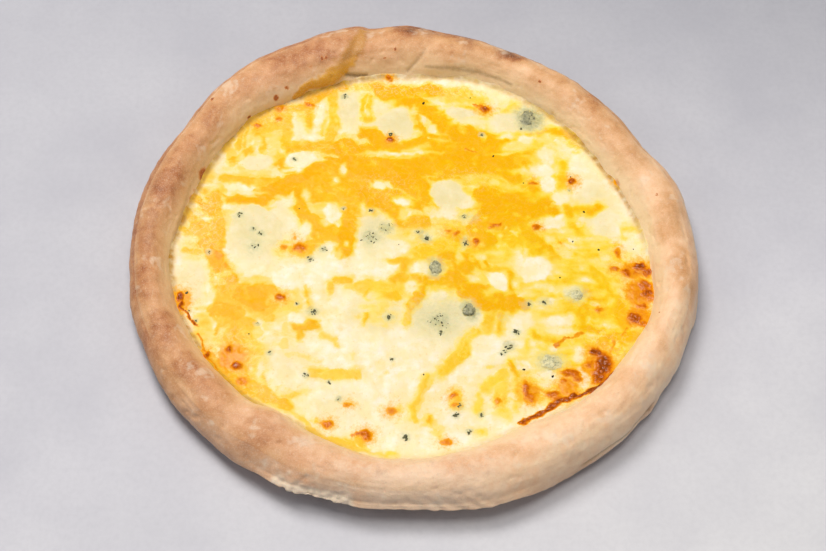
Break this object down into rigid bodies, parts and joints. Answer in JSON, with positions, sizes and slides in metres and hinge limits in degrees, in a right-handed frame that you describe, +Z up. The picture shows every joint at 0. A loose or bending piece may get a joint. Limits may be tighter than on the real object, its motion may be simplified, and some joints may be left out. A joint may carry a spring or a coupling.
{
  "type": "cheese pizza",
  "caption": "Round hand-stretched cheese pizza with a thick puffed rim, melted white cheese, cheddar shreds, browned blisters and sunken lumps of blue cheese.",
  "frame": {"origin": "middle of the pizza's box, on the surface it rests on", "axes": "+Z up, the near side of the pizza faces -Y, the rim's overlap lies at the far side, a little left of +Y"},
  "size_m": [0.301, 0.3022, 0.0257],
  "materials": {
    "crust": "baked white-flour dough, satin to matte, floury with tan patches",
    "melted_cheese": "melted white cheese and yellow cheddar, oily gloss, browned blisters",
    "blue_cheese": "soft crumbly grey-green blue cheese, satin"
  },
  "bodies": {
    "root": {"crust": "crust", "cheese": "melted_cheese", "blue_cheese_1": "blue_cheese", "blue_cheese_2": "blue_cheese", "blue_cheese_3": "blue_cheese", "blue_cheese_4": "blue_cheese", "blue_cheese_5": "blue_cheese"}
  },
  "joints": []
}
